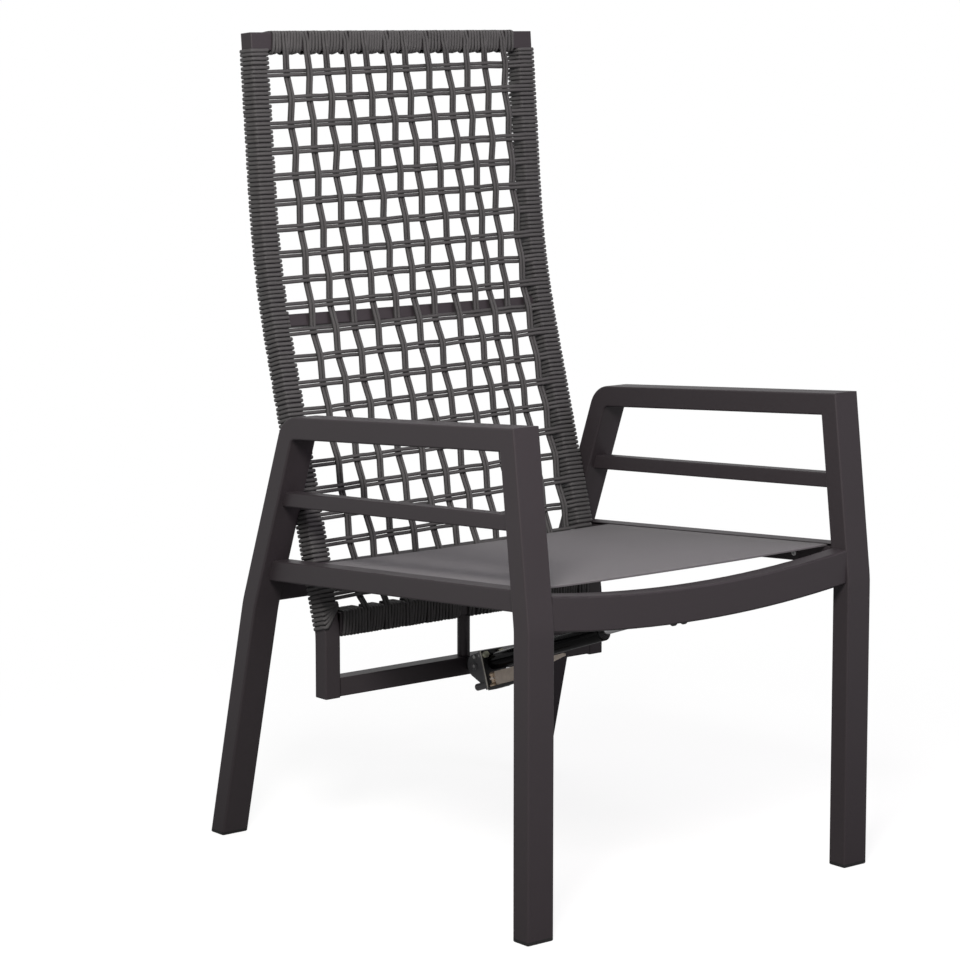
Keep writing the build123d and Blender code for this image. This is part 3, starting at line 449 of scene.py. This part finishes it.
upright_runs = []
for index in range(UPRIGHTS):
    wander = [chance.uniform(-UPRIGHT_WANDER, UPRIGHT_WANDER) for _ in range(LEVELS + 2)]
    for half in (-0.5, 0.5):
        shift = half * PAIR_APART
        start = upright_across(index, 0) + shift
        under = upright_across(index, UNDER_TUBE_ROW) + shift
        top = BACK_TOP
        points = [round_tube(on_back(*place), TOP_MIDDLE) for place in (
            (under, top - TOP_TUBE + EDGE_STEP, TUBE + ON_FACE),
            (start, top - TOP_TUBE / 2, TUBE + ON_FACE),
            (start, top - EDGE_STEP, TUBE + ON_FACE),
            (start, top + ON_FACE, TUBE - WIDE_CORNER),
            (start, top + ON_FACE, WIDE_CORNER),
            (start - ODD_LEAN * (index % 2), top - EDGE_STEP, -ON_FACE - LIFT_AT_TOP),
            (start, top - TOP_TUBE / 2, -ON_FACE - LIFT_AT_MIDDLE),
            (under - UNDER_LEAN, top - TOP_TUBE + CORNER, -ON_FACE - LIFT_AT_FOOT))]
        for row in range(1, LEVELS + 1):
            here = upright_across(index, row) + shift + wander[row]
            height = level_height(row, here)
            side = -1 if over(index, row) else 1
            points.append(cord_point(on_back(here, height, WEAVE_MIDDLE + side * WEAVE_SWING),
                                     to_front, ROUND))
            later = upright_across(index, row + 1) + shift + wander[row + 1]
            if row < LEVELS:
                points.append(cord_point(on_back((here + later) / 2, height - LEVEL_PITCH / 2,
                                                 WEAVE_MIDDLE), to_front, ROUND))
        foot = points[-1][0]
        for height, behind in ((LOWER_BAR_TOP + CORNER, -ON_FACE + EDGE_STEP),
                               (LOWER_BAR_TOP - BAR_ENTRY, -ON_FACE),
                               (LOWER_BAR_BOTTOM + WIDE_CORNER, -ON_FACE),
                               (LOWER_BAR_BOTTOM - ON_FACE, CORNER),
                               (LOWER_BAR_BOTTOM - ON_FACE, TUBE - CORNER),
                               (LOWER_BAR_BOTTOM + WIDE_CORNER, TUBE + ON_FACE),
                               (LOWER_BAR_TOP - WIDE_CORNER, TUBE + ON_FACE)):
            points.append(round_tube(Vector((foot, BACK_FRONT + behind, height)), LOWER_MIDDLE))
        upright_runs.append(smooth_run(points, 4))
uprights = lay_cords("lattice_uprights", upright_runs)

BACK_MIDDLE = (TUBE_OUTER + TUBE_INNER) / 2
HINGE_HEIGHT = 0.393294
HINGE_HALF = 0.014
SPREAD_SHARE = 1.04


def round_side(side, across, height, behind):
    """A place on a cord that is wound round a side tube."""
    place = on_back(side * across, height, behind)
    return cord_point(place, place - on_back(side * BACK_MIDDLE, height, TUBE / 2))


level_runs = []
for row in range(1, LEVELS + 1):
    wander = [chance.uniform(-LEVEL_WANDER, LEVEL_WANDER) for _ in range(UPRIGHTS)]
    for half in (-0.5, 0.5):
        shift = half * PAIR_APART
        points = []
        for index in range(UPRIGHTS):
            across = upright_across(index, row)
            side = 1 if over(index, row) else -1
            height = level_height(row, across) + shift + wander[index]
            points.append(cord_point(on_back(across, height, WEAVE_MIDDLE + side * WEAVE_SWING),
                                     to_front, ROUND))
            if index < UPRIGHTS - 1:
                later = (across + upright_across(index + 1, row)) / 2
                points.append(cord_point(on_back(later, level_height(row, later) + shift,
                                                 WEAVE_MIDDLE), to_front, ROUND))
        ends = []
        for side in (-1, 1):
            level = level_height(row, side * BACK_MIDDLE) + shift * SPREAD_SHARE
            edge, inner = TUBE_OUTER + ON_FACE, TUBE_INNER - ON_FACE
            places = [(TUBE_INNER + WIDE_CORNER, -ON_FACE), (BACK_MIDDLE, -ON_FACE),
                      (TUBE_OUTER - CORNER, -ON_FACE), (edge, CORNER), (edge, TUBE - CORNER),
                      (TUBE_OUTER - CORNER, TUBE + ON_FACE), (BACK_MIDDLE, TUBE + ON_FACE),
                      (TUBE_INNER + CORNER, TUBE + ON_FACE), (inner, TUBE - WIDE_CORNER),
                      (inner, TUBE * 0.5)]
            if abs(level - HINGE_HEIGHT) < HINGE_HALF:
                places = places[:3]
            ends.append([round_side(side, across, level, behind) for across, behind in places])
        level_runs.append(smooth_run(ends[0][::-1] + points + ends[1], 3))
levels = lay_cords("lattice_levels", level_runs)

for piece in (uprights, levels):
    piece.data.materials.append(braid.material)
    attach(piece, "backrest")
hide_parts("back_lattice")

# Windings of the side tubes: four turns between two level pairs, whose ends are turns too. They
# leave the hinges free, and the lowest turns climb over the end of the lower crossbar.
WOUND_TOP = 1.1005
TURN_PITCH = LEVEL_PITCH / 6
TURNS_BETWEEN = 4
TURNS_BELOW = 6
INNER_LOWEST = 0.3385
CLIMB_SHARE = 0.2
TURN_WANDER = 0.0004
TURN_PRESS = 0.0003
TURN_LIFT = 0.0005


def turn_points(side, height, out):
    """The corners of one turn round a side tube, from the middle of its back face."""
    climbed = max(height, INNER_LOWEST + (height - LOWER_BAR_BOTTOM) * CLIMB_SHARE)
    edge, inner = TUBE_OUTER + out, TUBE_INNER - out
    return [round_side(side, *place) for place in (
        (BACK_MIDDLE, height + TURN_PITCH / 2, TUBE + out),
        (TUBE_INNER + CORNER, climbed, TUBE + out), (inner, climbed, TUBE - CORNER),
        (inner, climbed, CORNER), (TUBE_INNER + CORNER, climbed, -out),
        (BACK_MIDDLE, (height + climbed) / 2, -out), (TUBE_OUTER - CORNER, height, -out),
        (edge, height, CORNER), (edge, height, TUBE - CORNER),
        (TUBE_OUTER - CORNER, height, TUBE + out))]


def wound_heights(side):
    """Heights of the turns of a side tube, from the top, in runs that the level pairs part."""
    first = level_height(1, side * BACK_MIDDLE)
    above = int((WOUND_TOP - first) / TURN_PITCH - 1)
    runs = [[first + TURN_PITCH * (turn + 1.5) for turn in reversed(range(above))]]
    for row in range(1, LEVELS + 1):
        count = TURNS_BETWEEN if row < LEVELS else TURNS_BELOW
        start = level_height(row, side * BACK_MIDDLE)
        runs.append([start - TURN_PITCH * (turn + 1.5) for turn in range(count)])
    return runs


for name, side in (("left", -1), ("right", 1)):
    runs = []
    for heights in wound_heights(side):
        points = []
        for height in heights:
            if abs(height - HINGE_HEIGHT) < HINGE_HALF:
                if points:
                    runs.append(smooth_run(points, 2))
                points = []
                continue
            points += turn_points(side, height + chance.uniform(-TURN_WANDER, TURN_WANDER),
                                  ON_FACE + chance.uniform(-TURN_PRESS, TURN_LIFT))
        if points:
            runs.append(smooth_run(points, 2))
    winding = lay_cords(f"{name}_winding_cord", runs)
    winding.data.materials.append(braid.material)
    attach(winding, "backrest")
    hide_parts(f"{name}_winding")

# Windings of the top tube and the lower crossbar, in bunches between the upright pairs. Their
# turns curve to the left at the bottom of the front, and every other bunch ends in a small gap.
TOP_REACH = 0.215
CROSS_PITCH = 0.0049
TURN_LEAN = 0.003
GAP_AT_PAIR = 0.0026
CROSS_LIFT = 0.0003
LEAN_AT_MIDDLE, LEAN_NEAR_FOOT = 0.25, 0.8
LOWER_REACH = TUBE_INNER - 0.004
POST_RADIUS = 0.009
GUSSET_REACH = 0.006
POST_SIDE = POST_RADIUS + GUSSET_REACH


def bunches(row, reach):
    """The spans between the upright pairs of a row."""
    pairs = [upright_across(index, row) for index in range(UPRIGHTS)]
    half_pair = (PAIR_APART + CORD) / 2
    lows = [-reach] + [pair + half_pair for pair in pairs]
    highs = [pair - half_pair for pair in pairs] + [reach]
    return list(zip(lows, highs))


def wind(spans, middle, tall, place):
    """Runs of turns over spans of a tube that is as tall as given and lies across the chair."""
    runs = []
    for number, (low, high) in enumerate(spans):
        count = max(round((high - low) / CROSS_PITCH), 1)
        pitch = (high - low) / count
        last_lean = GAP_AT_PAIR * (number % 2)
        points = []
        for turn in range(count):
            across = low + pitch * (turn + 0.5)
            share = (turn + 0.5) / count
            lean = (TURN_LEAN * (1 - share) + last_lean * share
                    + chance.uniform(-TURN_WANDER, TURN_WANDER))
            out = ON_FACE + chance.uniform(0, CROSS_LIFT)
            for shift, height, behind in (
                    (-pitch / 2 - lean, -out, TUBE / 2), (0, -out, TUBE - CORNER),
                    (0, WIDE_CORNER, TUBE + out), (0, tall - CORNER, TUBE + out),
                    (0, tall + out, TUBE - CORNER), (0, tall + out, CORNER),
                    (0, tall - CORNER, -out), (-lean * LEAN_AT_MIDDLE, tall / 2, -out),
                    (-lean * LEAN_NEAR_FOOT, WIDE_CORNER, -out), (-lean, -out, CORNER)):
                points.append(round_tube(place(across + shift, height, behind), middle))
        runs.append(smooth_run(points, 2))
    return runs


def on_top_tube(across, height, behind):
    return on_back(across, BACK_TOP - TOP_TUBE + height, behind)


def on_lower_bar(across, height, behind):
    return Vector((across, BACK_FRONT + behind, LOWER_BAR_BOTTOM + height))


top_winding = lay_cords("top_winding_cord",
                        wind(bunches(0, TOP_REACH), TOP_MIDDLE, TOP_TUBE, on_top_tube))
lower_spans = []
for low, high in bunches(LEVELS, LOWER_REACH):
    for start, end in ((low, min(high, -POST_SIDE)), (max(low, POST_SIDE), high)):
        if end - start > CORD / 2:
            lower_spans.append((start, end))
lower_winding = lay_cords("lower_winding_cord",
                          wind(lower_spans, LOWER_MIDDLE, LOWER_BAR_TOP - LOWER_BAR_BOTTOM,
                               on_lower_bar))

for piece, node in ((top_winding, "top_winding"), (lower_winding, "lower_winding")):
    piece.data.materials.append(braid.material)
    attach(piece, "backrest")
    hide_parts(node)

# Hardware of plated steel with a brushed surface: screws, bolts, inserts and nuts, the front pin,
# the rod's eye and the piston.
steel = Finish("plated steel")
brushed = steel.noise(600.0, 3.0, 0.7)
steel.set(Base_Color=steel.blend(brushed, (0.42, 0.42, 0.43), (0.62, 0.62, 0.62)), Metallic=1.0,
          Roughness=steel.ranged(brushed, 0.28, 0.45))
dress(steel, "lock_screws", "hinge_bolts", "hinge_inserts", "front_pin", "rod_eye", "flange_nuts",
      "piston")

# The spring's lug, its front bracket and the lever's shelf are painted dark grey. The release
# head and the cable socket have a lighter grey.
paint = Finish("dark grey paint")
paint_noise = paint.noise(300.0, 3.0)
paint.set(Base_Color=paint.blend(paint_noise, (0.026, 0.026, 0.028), (0.04, 0.04, 0.042)),
          Roughness=paint.ranged(paint_noise, 0.35, 0.5))
paint.bump(paint_noise, 0.00005, 0.4)
dress(paint, "spring_lug", "front_bracket", "lever_shelf")
head_paint = Finish("release head paint")
head_noise = head_paint.noise(300.0, 3.0)
head_paint.set(Base_Color=head_paint.blend(head_noise, (0.2, 0.2, 0.21), (0.28, 0.28, 0.292)),
               Roughness=head_paint.ranged(head_noise, 0.4, 0.55))
head_paint.bump(head_noise, 0.00005, 0.4)
dress(head_paint, "release_head", "cable_socket")

# The pins of the release head are painted with it, and have a nearly white painted highlight in the
# middle of their heads.
PIVOT = (0.0, 0.116, 0.237)
RIVET = (0.0, 0.1172, 0.2499)
BRIGHT_RADIUS = 0.0026
SPOT_BLUR = 0.0003
pins = Finish("pins with bare centres")
painted_glint_spots = None
for centre in (PIVOT, RIVET):
    from_axis = pins.node("ShaderNodeVectorMath", {"operation": "SUBTRACT"}, in0=pins.place(),
                          in1=centre)
    flat = pins.node("ShaderNodeVectorMath", {"operation": "MULTIPLY"}, in0=from_axis,
                     in1=(0.0, 1.0, 1.0))
    off = pins.node("ShaderNodeVectorMath", {"operation": "LENGTH"}, output=1, in0=flat)
    spot = pins.ranged(off, 1.0, 0.0, BRIGHT_RADIUS - SPOT_BLUR, BRIGHT_RADIUS + SPOT_BLUR)
    painted_glint_spots = spot if painted_glint_spots is None else painted_glint_spots.larger(spot)
# The middles of the pin heads are nearly white and partly metallic, as a painted highlight.
pins.set(Base_Color=pins.blend(painted_glint_spots, (0.22, 0.22, 0.23), (0.95, 0.95, 0.93)),
         Metallic=painted_glint_spots * 0.4, Roughness=0.4)
dress(pins, "spring_pivot_pin", "head_rivet")

# The release lever is bare zinc plate. The flange is zinc plate, with painted shade that makes its
# faces near black and pale zinc at its side edges, and its bolts have a yellow passivation.
zinc = Finish("zinc plate")
spangle = zinc.noise(160.0, 4.0, 0.65)
zinc.set(Base_Color=zinc.blend(spangle, (0.62, 0.52, 0.44), (0.95, 0.83, 0.72)), Metallic=0.6,
         Roughness=zinc.ranged(spangle, 0.3, 0.5))
dress(zinc, "release_lever")
shaded_flange = Finish("flange with cut edges")
normal = shaded_flange.node("ShaderNodeTexCoord", output=1)
facing = shaded_flange.node("ShaderNodeSeparateXYZ", Vector=normal)
# Faces that point along the spring are near black as painted shade; the side edges keep the pale
# zinc colour.
sideways = shaded_flange.ranged(facing.part(0).absolute(), 0.0, 1.0, 0.6, 0.7)
plate_noise = shaded_flange.noise(160.0, 4.0, 0.65)
bare = shaded_flange.blend(plate_noise, (0.8, 0.77, 0.68), (0.95, 0.92, 0.84))
shaded_flange.set(Base_Color=shaded_flange.blend(sideways, (0.03, 0.03, 0.032), bare),
             Metallic=shaded_flange.ranged(sideways, 0.0, 0.3),
             Roughness=shaded_flange.ranged(plate_noise, 0.35, 0.5))
dress(shaded_flange, "spring_flange")
yellow = Finish("yellow zinc")
yellow_noise = yellow.noise(220.0, 3.0)
yellow.set(Base_Color=yellow.blend(yellow_noise, (0.85, 0.86, 0.6), (0.95, 0.95, 0.78)),
           Metallic=0.3, Roughness=yellow.ranged(yellow_noise, 0.3, 0.42))
dress(yellow, "flange_bolts")

# The gas spring's cylinder is enamelled glossy black, and its rod is hard chrome.
enamel = Finish("black enamel")
enamel_noise = enamel.noise(60.0, 2.0)
enamel.set(Base_Color=(0.006, 0.006, 0.007, 1.0), Specular_IOR_Level=0.1,
           Roughness=enamel.ranged(enamel_noise, 0.14, 0.22))
dress(enamel, "spring_cylinder")
chrome = Finish("hard chrome")
chrome_noise = chrome.noise(90.0, 2.0)
chrome.set(Base_Color=(0.72, 0.72, 0.74, 1.0), Metallic=1.0,
           Roughness=chrome.ranged(chrome_noise, 0.08, 0.16))
dress(chrome, "piston_rod")
brass = Finish("turned brass")
brass_noise = brass.noise(260.0, 3.0)
brass.set(Base_Color=brass.blend(brass_noise, (0.9, 0.68, 0.48), (1.0, 0.8, 0.6)),
          Metallic=0.3, Roughness=brass.ranged(brass_noise, 0.28, 0.42))
dress(brass, "lever_post")

# A plain pale floor that looks white to the camera and keeps the chair's shadow, a white
# surround, and soft studio light from above, the front and the left.
FLOOR_SIZE = 30
FLOOR_DROP = 0.0002
GLOW_NEAR, GLOW_FAR = 0.7, 1.5
METAL_NEAR, METAL_FAR = 0.5, 2.6
bpy.ops.mesh.primitive_plane_add(size=FLOOR_SIZE, location=(0, 0, -FLOOR_DROP))
floor = bpy.context.object
floor.name = "floor"
paper = Finish("pale floor")
paper.nodes.remove(paper.shader)
light_path = paper.node("ShaderNodeLightPath")
distance = paper.node("ShaderNodeVectorMath", {"operation": "LENGTH"}, output=1,
                      in0=paper.place())
in_metal = light_path.part(3) * paper.ranged(distance, 0.12, 0.75, METAL_NEAR, METAL_FAR)
seen = light_path.part(0).larger(in_metal).larger(light_path.part(6))
matte = paper.node("ShaderNodeBsdfDiffuse", Color=(0.25, 0.25, 0.25, 1.0))
white_glow = paper.node("ShaderNodeEmission", Color=(1.0, 1.0, 1.0, 1.0), Strength=1.0)
near_glow = paper.node("ShaderNodeEmission", Color=(1.0, 1.0, 1.0, 1.0), Strength=0.86)
lit = paper.node("ShaderNodeBsdfDiffuse", Color=(0.35, 0.35, 0.35, 1.0))
near = paper.node("ShaderNodeAddShader", in0=lit, in1=near_glow)
far = paper.ranged(distance, 0.0, 1.0, GLOW_NEAR, GLOW_FAR)
shown = paper.node("ShaderNodeMixShader", in0=far, in1=near, in2=white_glow)
mixed = paper.node("ShaderNodeMixShader", in0=seen, in1=matte, in2=shown)
paper.links.new(mixed.socket, paper.nodes["Material Output"].inputs["Surface"])
floor.data.materials.append(paper.material)

AMBIENT_STRENGTH = 0.14
SEEN_IN_GLOSS = 0.45
world = bpy.data.worlds.new("surround")
bpy.context.scene.world = world
world.use_nodes = True
world_nodes, world_links = world.node_tree.nodes, world.node_tree.links
path = world_nodes.new("ShaderNodeLightPath")
ambient = world_nodes["Background"]
ambient.inputs["Color"].default_value = (0.97, 0.98, 1.0, 1.0)
ambient.inputs["Strength"].default_value = AMBIENT_STRENGTH
white = world_nodes.new("ShaderNodeBackground")
white.inputs["Color"].default_value = (1.0, 1.0, 1.0, 1.0)
white.inputs["Strength"].default_value = 1.0
share_seen = world_nodes.new("ShaderNodeMath")
share_seen.operation = "MULTIPLY_ADD"
share_seen.use_clamp = True
share_seen.inputs[1].default_value = SEEN_IN_GLOSS
world_links.new(path.outputs["Is Glossy Ray"], share_seen.inputs[0])
world_links.new(path.outputs["Is Camera Ray"], share_seen.inputs[2])
chooser = world_nodes.new("ShaderNodeMixShader")
world_links.new(share_seen.outputs[0], chooser.inputs[0])
world_links.new(ambient.outputs[0], chooser.inputs[1])
world_links.new(white.outputs[0], chooser.inputs[2])
world_links.new(chooser.outputs[0], world_nodes["World Output"].inputs["Surface"])

TARGET = Vector((0, 0, 0.7))
WARM = (1.0, 0.97, 0.93)
MAUVE = (1.0, 0.8, 1.0)
PLAIN = (1.0, 1.0, 1.0)
for name, place, power, size, tint in (("key", (-1.5, -1.5, 1.9), 41, 0.6, WARM),
                                       ("fill", (0.9, -2.2, 2.0), 9, 1.2, MAUVE),
                                       ("top", (0.1, 0.1, 2.7), 7, 1.4, PLAIN),
                                       ("rear", (1.2, 2.4, 2.0), 5, 1.6, PLAIN)):
    bpy.ops.object.light_add(type="AREA", location=place)
    lamp = bpy.context.object
    lamp.name = name
    lamp.data.energy = power
    lamp.data.shape = "SQUARE"
    lamp.data.size = size
    lamp.data.color = tint
    lamp.rotation_euler = (TARGET - Vector(place)).to_track_quat("-Z", "Y").to_euler()
